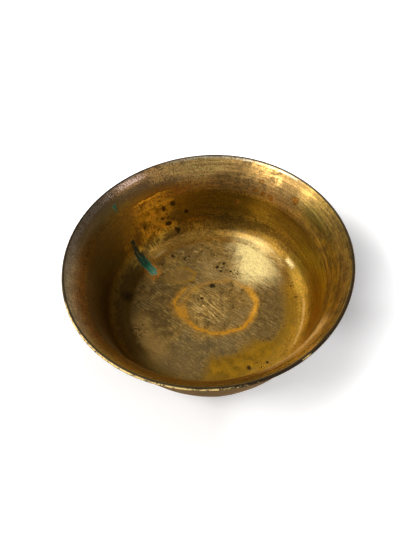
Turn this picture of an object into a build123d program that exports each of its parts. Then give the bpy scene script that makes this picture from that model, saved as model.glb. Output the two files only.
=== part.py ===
from build123d import *
import os
from math import cos, radians, sin, sqrt, tan

# A footed offering bowl with a lip that flares outwards.
# The bowl is one brass casting, turned to an even wall. A separate ring foot stands under it:
# its top is turned to the curve of the bowl's underside, and brazing metal fills the gap and both corners.
# Millimetres, +Z up, origin on the axis in the plane that the foot stands on.

# Bowl
rim_diameter = 120.0      # across the lip, before its edges are bevelled
bowl_height = 48.0        # from the table to the top of the lip, before its edges are bevelled
wall_thickness = 1.4      # of wall and floor alike
underside_height = 7.8    # clear height below the floor
corner_radius = 10.0      # inside, between floor and wall
wall_lean = 11.5          # degrees from upright, between the corner and the flare
flare_radius = 20.5       # inside, where the wall turns outwards
lip_lean = 52.0           # degrees from upright, at the lip
lip_bevel = 0.35          # on both edges of the lip

# Foot
foot_setback = 17.0       # from the lip's edge in to the foot's outer edge
foot_width = 4.0          # of the face that rests on the table
foot_splay = 8.0          # degrees from upright that the foot's outside spreads towards the table
foot_bevel = 0.6          # on both edges of the face that rests on the table

# Brazed joint
braze_gap = 0.3           # between the foot's top and the bowl
braze_leg = 1.4           # how far the braze runs out on bowl and foot in each corner


def across(lean):
    """Unit step out through the wall, square to a surface that leans by this many degrees."""
    return Vector(cos(radians(lean)), -sin(radians(lean)))


rim_radius = rim_diameter / 2
floor_level = underside_height + wall_thickness
lip_inside = Vector(rim_radius - wall_thickness * cos(radians(lip_lean)), bowl_height)

# The inner and outer surfaces share the centres of their arcs, so the wall is even all the way.
flare_centre = lip_inside + across(lip_lean) * flare_radius
shoulder = flare_centre - across(wall_lean) * flare_radius
corner_height = floor_level + corner_radius
wall_radius = shoulder.X - (shoulder.Y - corner_height) * tan(radians(wall_lean))
corner_centre = Vector(wall_radius - corner_radius / cos(radians(wall_lean)), corner_height)


def surface_line(depth):
    """Half section of the surface this deep in the wall: floor, corner arc, straight wall, flare arc."""
    level = floor_level - depth
    corner = CenterArc(corner_centre, corner_radius + depth, -90, 90 - wall_lean)
    flare = CenterArc(flare_centre, flare_radius - depth, 180 - wall_lean, wall_lean - lip_lean)
    floor = Line((0, level), corner @ 0)
    wall = Line(corner @ 1, flare @ 0)
    return Curve() + [floor, corner, wall, flare]


def underside(radius):
    """Height of the bowl's outer surface above the table, from the axis out to the corner's end."""
    beyond_flat = max(radius - corner_centre.X, 0)
    return corner_centre.Y - sqrt((corner_radius + wall_thickness) ** 2 - beyond_flat ** 2)


def inside_of(depth):
    """Half section of all that lies inside the surface this deep in the wall, up to its lip."""
    lip = flare_centre - across(lip_lean) * (flare_radius - depth)
    lid = Polyline((0, floor_level - depth), (0, lip.Y), lip)
    return make_face(surface_line(depth) + lid)


def bowl_section():
    lip_outside = lip_inside + across(lip_lean) * wall_thickness
    lip_face = Line(lip_inside, lip_outside)
    axis_line = Line((0, underside_height), (0, floor_level))
    section = make_face(surface_line(0) + surface_line(wall_thickness) + [lip_face, axis_line])
    lip_edges = section.vertices().sort_by(Axis.Y)[-2:]
    return chamfer(lip_edges, lip_bevel)


def foot_section():
    """A splayed ring, cut off at the top along the bowl's underside less the gap for the braze."""
    outer = rim_radius - foot_setback
    inner = outer - foot_width
    blank_top = corner_centre.Y
    outer_top = outer - blank_top * tan(radians(foot_splay))
    blank = make_face(Polyline((inner, 0), (outer, 0), (outer_top, blank_top), (inner, blank_top), close=True))
    seated = blank - inside_of(wall_thickness + braze_gap)
    resting_edges = seated.vertices().group_by(Axis.Y)[0]
    return chamfer(resting_edges, foot_bevel)


def braze_section(foot):
    """The film between foot and bowl, with a fillet in the corner on each side of the foot."""
    outer_seat = foot.vertices().sort_by(Axis.Y)[-1]
    inner_seat = foot.vertices().group_by(Axis.X)[0].sort_by(Axis.Y)[-1]
    down_foot = Vector(sin(radians(foot_splay)), -cos(radians(foot_splay)))
    outer_on_foot = Vector(outer_seat.X, outer_seat.Y) + down_foot * braze_leg
    inner_on_foot = Vector(inner_seat.X, inner_seat.Y - braze_leg)
    outer_run = outer_seat.X + braze_leg
    inner_run = inner_seat.X - braze_leg
    outer_on_bowl = Vector(outer_run, underside(outer_run))
    inner_on_bowl = Vector(inner_run, underside(inner_run))
    within_bowl = corner_centre.Y
    blank = make_face(Polyline(
        outer_on_foot, outer_on_bowl, (outer_run, within_bowl), (inner_run, within_bowl),
        inner_on_bowl, inner_on_foot, close=True))
    return blank - inside_of(wall_thickness) - foot


def turned(section):
    """The solid of a half section that goes all the way round the axis."""
    return revolve(Plane.XZ * section, Axis.Z)


foot_half = foot_section()
pieces = {
    "bowl_body": turned(bowl_section()),
    "foot_ring": turned(foot_half),
    "braze_seam": turned(braze_section(foot_half)),
}

os.makedirs("parts", exist_ok=True)
for name, piece in pieces.items():
    piece.label = name
    export_step(piece, f"parts/{name}.step")
    print(f"{name}: {len(piece.solids())} solid, {piece.volume / 1000:.2f} cm3")
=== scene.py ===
# %% [markdown]
# An old brass offering bowl stands on a pale studio floor, seen from above and in front. The measured
# solids come first, as a fixed frame. Every surface of this lesson is laid over them, so the frame's own
# box is kept now and compared with the finished bowl at the end.

import bpy
import numpy as np
from mathutils import Matrix, Vector


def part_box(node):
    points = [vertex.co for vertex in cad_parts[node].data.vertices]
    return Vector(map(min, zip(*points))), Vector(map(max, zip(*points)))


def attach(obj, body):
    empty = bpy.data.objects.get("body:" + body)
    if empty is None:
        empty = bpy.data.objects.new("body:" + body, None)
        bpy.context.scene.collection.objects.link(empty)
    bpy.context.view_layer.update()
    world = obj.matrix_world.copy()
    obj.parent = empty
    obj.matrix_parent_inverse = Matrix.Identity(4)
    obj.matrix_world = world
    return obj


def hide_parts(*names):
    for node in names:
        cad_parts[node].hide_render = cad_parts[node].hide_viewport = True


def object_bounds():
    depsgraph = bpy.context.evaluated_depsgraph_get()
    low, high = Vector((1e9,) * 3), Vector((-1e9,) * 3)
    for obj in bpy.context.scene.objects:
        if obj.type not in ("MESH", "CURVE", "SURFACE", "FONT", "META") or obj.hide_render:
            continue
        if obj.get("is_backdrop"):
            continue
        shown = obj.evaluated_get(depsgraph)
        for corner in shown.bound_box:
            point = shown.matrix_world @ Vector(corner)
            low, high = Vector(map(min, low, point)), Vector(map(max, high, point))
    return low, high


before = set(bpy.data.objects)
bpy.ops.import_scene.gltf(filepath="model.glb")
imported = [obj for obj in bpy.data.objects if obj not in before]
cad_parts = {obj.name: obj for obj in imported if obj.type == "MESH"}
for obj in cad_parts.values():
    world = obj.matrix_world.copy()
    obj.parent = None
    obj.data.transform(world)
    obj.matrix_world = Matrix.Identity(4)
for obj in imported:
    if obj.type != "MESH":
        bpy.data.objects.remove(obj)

cad_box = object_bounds()
bowl_low, bowl_high = (np.array(corner) * 1000.0 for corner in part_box("bowl_body"))
print("bowl in the frame, mm:", (bowl_high - bowl_low).round(2), "from z", bowl_low[2].round(2))

# %% [markdown]
# A bowl that was turned on a lathe is one line, its section, carried round an axis. The Screw modifier
# or Spin could do that, but both leave doubled points on the axis. Here the section is an array of
# (radius, height) points, and whole arrays make the rings, with one shared point at each pole. Sizes are
# in millimetres until the mesh is written.

# %% Carry a section round the axis
millimetre = 0.001


def straight(start, stop, count):
    """Points at even steps from start to stop."""
    step = np.linspace(0.0, 1.0, count)[:, None]
    return np.asarray(start) + (np.asarray(stop) - np.asarray(start)) * step


def arc(centre, radius, start, stop, count):
    """Points at even angles on a circle: centre + radius (cos a, sin a), a in degrees from start to stop."""
    angle = np.radians(np.linspace(start, stop, count))
    return np.asarray(centre) + radius * np.stack([np.cos(angle), np.sin(angle)], axis=1)


def chain(*stretches):
    """The stretches end to end, without the first point of each later one, which repeats the last."""
    return np.concatenate([stretches[0]] + [stretch[1:] for stretch in stretches[1:]])


def ring_points(section, segments):
    """Each section point (r, z) at each angle t of a full turn: (r cos t, r sin t, z)."""
    turn = np.arange(segments) * 2.0 * np.pi / segments
    radius = section[:, 0, None]
    height = np.repeat(section[:, 1, None], segments, axis=1)
    return np.stack([radius * np.cos(turn), radius * np.sin(turn), height], axis=2)


def ring_faces(rings, segments, closed):
    """Quads between each ring and the next, and each point and the next, wrapped round the turn."""
    ring = np.arange(rings if closed else rings - 1)[:, None]
    after = (ring + 1) % rings
    side = np.arange(segments)[None, :]
    next_side = (side + 1) % segments
    corners = [ring * segments + side, after * segments + side,
               after * segments + next_side, ring * segments + next_side]
    return np.stack(corners, axis=2).reshape(-1, 4)


def make_piece(name, points, faces):
    """A smooth mesh object at the origin, from points in millimetres."""
    mesh = bpy.data.meshes.new(name)
    mesh.from_pydata((points * millimetre).tolist(), [], faces)
    mesh.polygons.foreach_set("use_smooth", np.ones(len(mesh.polygons), dtype=bool))
    mesh.update()
    piece = bpy.data.objects.new(name, mesh)
    bpy.context.scene.collection.objects.link(piece)
    print(name, "has", len(mesh.vertices), "points and", len(mesh.polygons), "faces")
    return piece


# %% [markdown]
# The bowl is a casting turned to an even wall. Inside, from the middle out, it has a slightly dished
# floor, a rounded corner, a wall that leans out and a lip that flares. One smooth curve through a few
# points could draw that, but it would bulge between them. Tangent lines and arcs are what a lathe's
# template has. The outside keeps one wall thickness from the inside, so each outer arc shares its inner
# arc's centre.

# %% The sizes of the bowl
rim_radius = 60.0
bowl_height = 48.0
wall_thickness = 1.4
corner_radius = 10.0
wall_lean = 11.5
flare_radius = 20.5
lip_lean = 52.0


def pointing(angle):
    """The unit vector at that angle, in degrees above the level."""
    return np.array([np.cos(np.radians(angle)), np.sin(np.radians(angle))])


underside = bowl_low[2]
floor_level = underside + wall_thickness
lip_inside = np.array([rim_radius, bowl_height]) - [wall_thickness * pointing(lip_lean)[0], 0.0]
flare_centre = lip_inside - flare_radius * pointing(180.0 - lip_lean)
shoulder = flare_centre + flare_radius * pointing(180.0 - wall_lean)
corner_height = floor_level + corner_radius
wall_foot_height = corner_height + corner_radius * pointing(-wall_lean)[1]
wall_foot_radius = shoulder[0] - (shoulder[1] - wall_foot_height) * np.tan(np.radians(wall_lean))
corner_centre = np.array([wall_foot_radius - corner_radius * pointing(-wall_lean)[0], corner_height])
print("corner's centre, mm:", corner_centre.round(2), "flare's centre, mm:", flare_centre.round(2))

# %% [markdown]
# The section is one line, from the middle of the floor up the inside, over the lip and down the outside.
# The lip's edge is a narrow land with both arrises worn round, and a Bevel modifier would round the foot
# of the wall as well, so its two small arcs are drawn here. Each point also gets a station, which says
# what part of the bowl it is on: finishes that follow the wall or the lip use it later.

# %% The section of the bowl
flat_radius = 14.0
dish_lean = 4.0
arris_radius = 0.45
arris_margin = 1.5
floor_points, dish_points, corner_points = 28, 49, 28
wall_points, flare_points, arris_points = 34, 30, 7
outer_flare_points, outer_wall_points, outer_corner_points, under_points = 22, 14, 16, 16


def floor_line():
    """Level in the middle, then an arc of a large circle that leans by dish_lean at the corner."""
    edge = corner_centre + corner_radius * pointing(dish_lean - 90.0)
    dish_radius = (edge[0] - flat_radius) / np.sin(np.radians(dish_lean))
    dish_centre = np.array([flat_radius, edge[1] + dish_radius * np.cos(np.radians(dish_lean))])
    lowest = dish_centre - [0.0, dish_radius]
    return chain(straight([0.0, lowest[1]], lowest, floor_points),
                 arc(dish_centre, dish_radius, -90.0, dish_lean - 90.0, dish_points))


def lip_line():
    """Over the edge of the lip: a quarter circle on each arris, with the land between them."""
    through_wall = pointing(180.0 - lip_lean)
    inner_arris = lip_inside - arris_radius * (through_wall + pointing(90.0 - lip_lean))
    outer_arris = inner_arris - (wall_thickness - 2.0 * arris_radius) * through_wall
    return chain(arc(inner_arris, arris_radius, 180.0 - lip_lean, 90.0 - lip_lean, arris_points),
                 arc(outer_arris, arris_radius, 90.0 - lip_lean, -lip_lean, arris_points))


def bowl_section():
    """The points of the whole line, and each point's station.

    The station is 1 at the floor's edge, 2 and 3 at the ends of the wall, 4 and 5 at the two edges
    of the lip, and 6 to 9 down the outside.
    """
    lip = lip_line()
    flare_start, flare_stop = 180.0 - wall_lean, 180.0 - lip_lean + arris_margin
    outer_flare = flare_radius - wall_thickness
    outer_corner = corner_radius + wall_thickness
    stretches = [
        floor_line(),
        arc(corner_centre, corner_radius, dish_lean - 90.0, -wall_lean, corner_points),
        straight(corner_centre + corner_radius * pointing(-wall_lean), shoulder, wall_points),
        np.vstack([arc(flare_centre, flare_radius, flare_start, flare_stop, flare_points), lip[0]]),
        lip,
        np.vstack([lip[-1], arc(flare_centre, outer_flare, flare_stop, flare_start, outer_flare_points)]),
        straight(flare_centre + outer_flare * pointing(180.0 - wall_lean),
                 corner_centre + outer_corner * pointing(-wall_lean), outer_wall_points),
        arc(corner_centre, outer_corner, -wall_lean, -90.0, outer_corner_points),
        straight([corner_centre[0], underside], [0.0, underside], under_points),
    ]
    station = [np.linspace(0.0, 1.0, len(stretches[0]))]
    for number, stretch in enumerate(stretches[1:], start=1):
        station.append(np.linspace(number, number + 1.0, len(stretch))[1:])
    return chain(*stretches), np.concatenate(station)


section, station = bowl_section()
along = np.concatenate([[0.0], np.cumsum(np.hypot(*np.diff(section, axis=0).T))])
print("bowl section:", len(section), "points,", along[-1].round(1), "mm along")
print("floor, corner, wall and flare end at", np.interp([1, 2, 3, 4], station, along).round(1), "mm along")

# %% [markdown]
# The lip was finished by hand, so it is not a perfect circle. A Displace modifier with a noise texture
# would move every point, also those that have to stay true to the foot. Three slow waves round the turn
# move the wall by a fraction of a millimetre, more towards the lip and nothing near the floor.

# %% The bowl
bowl_segments = 384
wave_size = 0.12
wave_counts = (2, 3, 5)


def hand_made(points):
    """Moves each point out by wave_size x h^2 x the sum of cos(n t + n^2) over the wave counts n.

    The height h goes from 0 at the middle of the corner to 1 at the lip, and t is the angle of the turn.
    """
    angle = np.arctan2(points[..., 1], points[..., 0])
    height = np.clip((points[..., 2] - corner_height) / (bowl_height - corner_height), 0.0, 1.0)
    wave = sum(np.cos(count * angle + count * count) for count in wave_counts)
    radius = np.hypot(points[..., 0], points[..., 1])
    stretch = 1.0 + wave_size * wave * height ** 2 / radius
    return points * np.stack([stretch, stretch, np.ones_like(stretch)], axis=-1)


def keep_on_points(piece, name, values):
    """Stores a number for each section point on the whole ring that it makes."""
    per_point = np.concatenate([values[:1], np.repeat(values[1:-1], bowl_segments), values[-1:]])
    layer = piece.data.attributes.new(name, "FLOAT", "POINT")
    layer.data.foreach_set("value", per_point.astype(np.float32))


def make_bowl():
    """The section's rings with the first and last point as poles."""
    rings = hand_made(ring_points(section[1:-1], bowl_segments)).reshape(-1, 3)
    points = np.concatenate([[[0.0, 0.0, section[0, 1]]], rings, [[0.0, 0.0, section[-1, 1]]]])
    quads = ring_faces(len(section) - 2, bowl_segments, closed=False) + 1
    side = np.arange(bowl_segments)
    next_side = (side + 1) % bowl_segments
    last_ring = (len(section) - 3) * bowl_segments + 1
    lowest_point = np.full_like(side, len(points) - 1)
    floor_fan = np.stack([np.zeros_like(side), 1 + side, 1 + next_side], axis=1)
    under_fan = np.stack([last_ring + side, lowest_point, last_ring + next_side], axis=1)
    piece = make_piece("bowl_shell", points, quads.tolist() + floor_fan.tolist() + under_fan.tolist())
    keep_on_points(piece, "station", station)
    keep_on_points(piece, "along", along)
    return piece


bowl = make_bowl()

# %% [markdown]
# The foot is a short turned ring that leans out towards the table. Its top follows the curve of the
# bowl's underside with a hair's gap. A Boolean could cut that seat, but it leaves long thin faces, so
# the seat is worked out from the same circle as the underside. Where the leaning face meets it is found
# by trying many points up the face. The section is a closed loop, so its last ring joins back to the
# first.

# %% The foot
foot_setback = 17.0
foot_radius = rim_radius - foot_setback
foot_width = 4.0
foot_splay = 8.0
foot_edge_radius = 0.6
braze_gap = 0.3
foot_segments = 256
tried_height, tries = 10.0, 2001
edge_points, face_points, seat_points, base_points = 6, 10, 9, 6
lean = np.array([-np.tan(np.radians(foot_splay)), 1.0])
up_face = lean / np.hypot(*lean)


def under_bowl(radius, gap):
    """Height of the bowl's underside at a radius, less a gap: flat, then the outer corner's circle."""
    reach = corner_radius + wall_thickness + gap
    beyond = np.clip(radius - corner_centre[0], 0.0, None)
    return corner_centre[1] - np.sqrt(reach ** 2 - beyond ** 2)


def under_line(start, stop, gap, count):
    """Points along the bowl's underside, less a gap, at even steps of radius."""
    radius = np.linspace(start, stop, count)
    return np.stack([radius, under_bowl(radius, gap)], axis=1)


def rounded_edge(corner, before, after, radius, count):
    """The curve (1-t)^2 A + 2t(1-t) C + t^2 B round a corner C, from A to B, each one radius from C."""
    step = np.linspace(0.0, 1.0, count)[:, None]
    first = np.asarray(corner) + radius * before
    last = np.asarray(corner) + radius * after
    return (1 - step) ** 2 * first + 2 * step * (1 - step) * np.asarray(corner) + step ** 2 * last


def foot_seat():
    """The inner and outer ends of the foot's top."""
    inner = foot_radius - foot_width
    face = np.array([foot_radius, 0.0]) + np.linspace(0.0, tried_height, tries)[:, None] * up_face
    below_bowl = face[:, 1] < under_bowl(face[:, 0], braze_gap)
    return np.array([inner, under_bowl(inner, braze_gap)]), face[below_bowl][-1]


def foot_section(seat_inner, seat_outer):
    """Clockwise: up the inner face, out over the seat, down the outer face and in along the base."""
    outwards, upwards = np.array([1.0, 0.0]), np.array([0.0, 1.0])
    inner_edge = rounded_edge([seat_inner[0], 0.0], outwards, upwards, foot_edge_radius, edge_points)
    outer_edge = rounded_edge([foot_radius, 0.0], up_face, -outwards, foot_edge_radius, edge_points)
    loop = chain(inner_edge, straight(inner_edge[-1], seat_inner, face_points),
                 under_line(seat_inner[0], seat_outer[0], braze_gap, seat_points),
                 straight(seat_outer, outer_edge[0], face_points), outer_edge,
                 straight(outer_edge[-1], inner_edge[0], base_points))
    return loop[:-1]


def make_ring(name, loop):
    """A closed section carried round the axis."""
    points = ring_points(loop, foot_segments).reshape(-1, 3)
    return make_piece(name, points, ring_faces(len(loop), foot_segments, closed=True).tolist())


seat_inner, seat_outer = foot_seat()
foot = make_ring("foot_turned", foot_section(seat_inner, seat_outer))
print("foot's seat, mm: from", seat_inner.round(2), "to", seat_outer.round(2))

# %% [markdown]
# Brazing metal fills the gap over the foot and stands in both corners as a small fillet. Molten metal is
# drawn into a corner, so the fillet's face is hollow: a straight line from foot to bowl, pulled in by a
# parabola. A Bevel on the two solids would round the foot as well and leave no piece of its own.

# %% The brazed seam
braze_leg = 1.4
fillet_hollow = 0.3 * braze_leg
fillet_points, film_points, braze_seat_points, leg_points = 7, 13, 7, 3


def hollow_face(start, stop, into_corner):
    """The line start to stop, moved into the corner by 4t(1-t) x fillet_hollow."""
    step = np.linspace(0.0, 1.0, fillet_points)[:, None]
    pull = 4 * step * (1 - step) * fillet_hollow
    return straight(start, stop, fillet_points) + pull * np.array(into_corner)


def braze_section(seat_inner, seat_outer):
    """Clockwise: the inner fillet's face, the bowl's underside, the outer fillet's face, the foot's top."""
    inner_low = seat_inner - [0.0, braze_leg]
    outer_low = seat_outer - braze_leg * up_face
    top = under_line(seat_inner[0] - braze_leg, seat_outer[0] + braze_leg, 0.0, film_points)
    loop = chain(hollow_face(inner_low, top[0], (0.7, 0.7)), top,
                 hollow_face(top[-1], outer_low, (-0.7, 0.7)),
                 straight(outer_low, seat_outer, leg_points),
                 under_line(seat_outer[0], seat_inner[0], braze_gap, braze_seat_points),
                 straight(seat_inner, inner_low, leg_points))
    return loop[:-1]


braze = make_ring("braze_fillet", braze_section(seat_inner, seat_outer))

# %% [markdown]
# A material is a short recipe of nodes. Writing each node out by hand hides the idea, so this helper
# adds one node at a time and gives back its output, and a recipe then reads like a formula. Constants go
# straight into the sockets, and only real patterns are linked.

# %% A helper for recipes of nodes


class Recipe:
    """Adds shader nodes to a material or a world. Most methods return the output of their node."""

    def __init__(self, owner, shader="Principled BSDF"):
        owner.use_nodes = True
        self.owner = owner
        self.tree = owner.node_tree
        self.shader = self.tree.nodes[shader]

    def feed(self, socket, value):
        """Links an output to a socket, or sets a constant on it."""
        if isinstance(value, bpy.types.NodeSocket):
            self.tree.links.new(value, socket)
        elif isinstance(value, tuple) and socket.type == "RGBA":
            socket.default_value = (*value, 1.0)
        else:
            socket.default_value = value

    def add(self, kind, inputs, output=0, **settings):
        """A node with its settings and inputs, by name or number."""
        node = self.tree.nodes.new(kind)
        for name, value in settings.items():
            setattr(node, name, value)
        for key, value in inputs.items():
            self.feed(node.inputs[key], value)
        return node.outputs[output]

    def finish(self, **sockets):
        """Feeds the shader, by socket name with underscores for spaces, and returns the owner."""
        for name, value in sockets.items():
            self.feed(self.shader.inputs[name.replace("_", " ")], value)
        print(self.owner.name, "has", len(self.tree.nodes), "nodes")
        return self.owner

    def place(self):
        """The point's place on the piece, in millimetres."""
        where = self.add("ShaderNodeTexCoord", {}, "Object")
        return self.add("ShaderNodeVectorMath", {0: where, "Scale": 1000.0}, operation="SCALE")

    def attribute(self, name):
        """A number kept on the mesh."""
        return self.add("ShaderNodeAttribute", {}, "Fac", attribute_name=name)

    def fold(self, operation, first, *others):
        """Joins numbers two at a time, from the left, by one operation."""
        for other in others:
            first = self.add("ShaderNodeMath", {0: first, 1: other}, operation=operation)
        return first

    def sum(self, *numbers):
        """All the numbers added up."""
        return self.fold("ADD", *numbers)

    def minus(self, first, second):
        """The first number less the second."""
        return self.fold("SUBTRACT", first, second)

    def times(self, *numbers):
        """All the numbers multiplied: where the numbers are masks, 1 only where all of them are."""
        return self.fold("MULTIPLY", *numbers)

    def most(self, *numbers):
        """The largest of the numbers: where the numbers are masks, 1 where any of them is."""
        return self.fold("MAXIMUM", *numbers)

    def weigh(self, *pairs):
        """The sum of several numbers, each times its weight."""
        return self.sum(*(self.times(number, weight) for number, weight in pairs))

    def off(self, number, middle):
        """How far a number is from a middle value, on either side."""
        return self.add("ShaderNodeMath", {0: self.minus(number, middle)}, operation="ABSOLUTE")

    def ramp(self, number, low, high, bottom=0.0, top=1.0, shape="SMOOTHSTEP"):
        """Goes from bottom at low to top at high, and no further. Low may be the larger of the two."""
        inputs = {0: number, 1: low, 2: high, 3: bottom, 4: top}
        return self.add("ShaderNodeMapRange", inputs, interpolation_type=shape)

    def vector(self, x, y, z):
        """A vector of three numbers."""
        return self.add("ShaderNodeCombineXYZ", {0: x, 1: y, 2: z})

    def parts(self, vector):
        """The x, y and z of a vector."""
        node = self.tree.nodes.new("ShaderNodeSeparateXYZ")
        self.feed(node.inputs[0], vector)
        return tuple(node.outputs)

    def shift(self, vector, offset):
        """The vector moved by an offset."""
        return self.add("ShaderNodeVectorMath", {0: vector, 1: offset}, operation="ADD")

    def stretch(self, vector, factors):
        """The vector with each part times its own factor."""
        return self.add("ShaderNodeVectorMath", {0: vector, 1: factors}, operation="MULTIPLY")

    def unit(self, vector):
        """The vector at length 1."""
        return self.add("ShaderNodeVectorMath", {0: vector}, operation="NORMALIZE")

    def dot(self, first, second):
        """How far the first vector reaches along the second."""
        return self.add("ShaderNodeVectorMath", {0: first, 1: second}, "Value", operation="DOT_PRODUCT")

    def length(self, vector):
        """The length of the vector."""
        return self.add("ShaderNodeVectorMath", {0: vector}, "Value", operation="LENGTH")

    def distance(self, vector, point):
        """The distance between two points."""
        return self.add("ShaderNodeVectorMath", {0: vector, 1: point}, "Value", operation="DISTANCE")

    def noise(self, vector, scale, detail=2.0, roughness=0.5):
        """Soft random values round one half. Scale is in cycles per unit of the vector."""
        inputs = {"Vector": vector, "Scale": scale, "Detail": detail, "Roughness": roughness}
        return self.add("ShaderNodeTexNoise", inputs)

    def push(self, vector, scale, amount):
        """The vector, pushed about by up to half of amount in each direction."""
        colour = self.add("ShaderNodeTexNoise", {"Vector": vector, "Scale": scale, "Detail": 2.0}, 1)
        centred = self.shift(colour, (-0.5, -0.5, -0.5))
        return self.shift(vector, self.stretch(centred, (amount, amount, amount)))

    def mix(self, amount, first, second):
        """The first colour where amount is 0 and the second where it is 1."""
        return self.add("ShaderNodeMix", {0: amount, 6: first, 7: second}, 2, data_type="RGBA")

    def blend(self, amount, first, second):
        """The first number where amount is 0 and the second where it is 1."""
        return self.add("ShaderNodeMix", {0: amount, 2: first, 3: second})

    def shade(self, colour, factor):
        """The colour times a number."""
        inputs = {0: 1.0, 6: colour, 7: self.vector(factor, factor, factor)}
        return self.add("ShaderNodeMix", inputs, 2, data_type="RGBA", blend_type="MULTIPLY")

    def bump(self, height, depth):
        """Tilts the surface as if it stood out by height x depth, in metres."""
        return self.add("ShaderNodeBump", {"Height": height, "Distance": depth, "Strength": 1.0})


# %% [markdown]
# The inside of the bowl is brass that has been handled, wetted and wiped for decades. One painted
# picture could hold all of that, but it would blur up close and fit only this mesh. So the finish is
# built up in coats, in the order in which they came about: bare metal, then films, stains, dirt and
# pits, each over the last where its mask is 1. Masks come from where a point lies: in plan, round the
# turn and along the section.

# %% Coats and masks


class Finish:
    """The colour, roughness and metal of a surface, built up in coats."""

    def __init__(self, recipe, colour, roughness):
        self.recipe = recipe
        self.colour = colour
        self.roughness = roughness
        self.metal = 1.0

    def coat(self, mask, colour=None, roughness=None, metal=None):
        """Lays a coat over the last one where mask is 1. What isn't given shows through."""
        if colour is not None:
            self.colour = self.recipe.mix(mask, self.colour, colour)
        if roughness is not None:
            self.roughness = self.recipe.blend(mask, self.roughness, roughness)
        if metal is not None:
            self.metal = self.recipe.blend(mask, self.metal, metal)

    def tint(self, factor):
        """Darkens or brightens all coats so far."""
        self.colour = self.recipe.shade(self.colour, factor)


def facing(r, around, sector):
    """1 in a sector of the turn and 0 outside it.

    A sector is its middle, half of its width and its fade at each end, in degrees. They are counted
    anticlockwise from the right, seen from above, so 90 is the back and 270 the front.
    """
    middle, half_width, fade = np.radians(sector)
    towards = r.dot(around, (np.cos(middle), np.sin(middle), 0.0))
    return r.ramp(towards, np.cos(half_width + fade), np.cos(half_width))


def between(r, number, band):
    """1 within a band and 0 outside it. A band is its low end, its high end and its fade on both sides."""
    low, high, fade = band
    return r.times(r.ramp(number, low - fade, low), r.ramp(number, high + fade, high))


def area(r, here, edges, number):
    """1 where a sector of the turn crosses a band of a number, such as the station. Edges holds both."""
    sector, band = edges
    return r.times(facing(r, here.around, sector), between(r, number, band))


def spots(r, where, places, core=0.45):
    """The largest of a set of round spots, each (x, y, z, radius), that fade out from core x radius."""
    faded = [r.ramp(r.distance(where, (x, y, z)), radius, radius * core) for x, y, z, radius in places]
    return r.most(*faded)


def oval(r, flat, centre, reach):
    """The step from a centre in plan, as a share of the oval's half widths: its length is 1 on the line."""
    moved = r.shift(flat, (-centre[0], -centre[1], 0.0))
    return r.stretch(moved, (1.0 / reach[0], 1.0 / reach[1], 0.0))


def strokes(r, flat, angle, length, spacing):
    """Noise drawn out into strokes of about that length and spacing, at an angle in plan."""
    inputs = {"Vector": flat, "Rotation": (0.0, 0.0, np.radians(angle)), "Scale": (length, spacing, 1.0)}
    turned = r.add("ShaderNodeMapping", inputs, vector_type="TEXTURE")
    return r.noise(turned, 1.0, 2.0, 0.6)


# %% [markdown]
# Several coats need the same facts about a point, so they are worked out once. The noises go from clouds
# that span a seventh of the bowl down to grit of less than half a millimetre, and two more are drawn out
# round the turn, like the marks of the lathe and the smears of a cloth. Painted vertex colours could mark
# floor, wall and flare, but their edges would be as coarse as the mesh. Bands of the station keep their
# edges sharp, soft or ragged at will.

# %% Where a point lies
from types import SimpleNamespace

cloud_scale, mottle_scale, grain_scale, grit_scale = 0.06, 0.25, 1.2, 2.6
lathe_turn, cloth_turn = (2.5, 2.5, 0.0), (9.0, 9.0, 0.0)
floor_fade, floor_stop = (43.0, 36.0), (2.0, 1.9)
wall_band, flare_band = (1.8, 2.9, 0.4), (3.05, 4.0, 0.35)
noise_spans = 1.0 / np.array([cloud_scale, mottle_scale, grain_scale, grit_scale])
print("noises span, mm:", noise_spans.round(1))


def survey(r):
    """A point's place, its direction round the turn, its station and its way along the section."""
    here = SimpleNamespace(place=r.place(), station=r.attribute("station"), along=r.attribute("along"))
    here.x, here.y, here.z = r.parts(here.place)
    here.flat = r.vector(here.x, here.y, 0.0)
    here.radius = r.length(here.flat)
    here.around = r.unit(here.flat)
    return here


def add_noises(r, here):
    """Noises from clouds to grit, a place pushed about, two noises drawn out round the turn, and mixes."""
    here.clouds = r.noise(here.place, cloud_scale, 3.0, 0.6)
    here.mottle = r.noise(here.place, mottle_scale, 4.0, 0.65)
    here.grain = r.noise(here.place, grain_scale, 3.0, 0.6)
    here.grit = r.noise(here.place, grit_scale, 2.0, 0.7)
    here.pushed = r.push(r.push(here.place, 0.35, 1.6), 1.1, 1.1)
    up = r.vector(0.0, 0.0, here.along)
    here.turning = r.noise(r.shift(r.stretch(here.around, lathe_turn), up), 1.1, 3.0, 0.7)
    here.smears = r.noise(r.shift(r.stretch(here.around, cloth_turn), up), 0.4, 4.0, 0.65)
    here.rough_edge = r.minus(r.weigh((here.mottle, 0.6), (here.grain, 0.4)), 0.5)
    here.tone = r.weigh((here.mottle, 0.4), (here.grain, 0.3), (here.grit, 0.3))


def add_zones(r, here):
    """Masks of the floor, which has a ragged edge, and of the wall and the flare, which have soft ones."""
    ragged = r.sum(here.radius, r.times(here.rough_edge, 14.0))
    here.floor = r.times(r.ramp(ragged, *floor_fade), r.ramp(here.station, *floor_stop))
    here.wall = between(r, here.station, wall_band)
    here.flare = between(r, here.station, flare_band)
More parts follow.
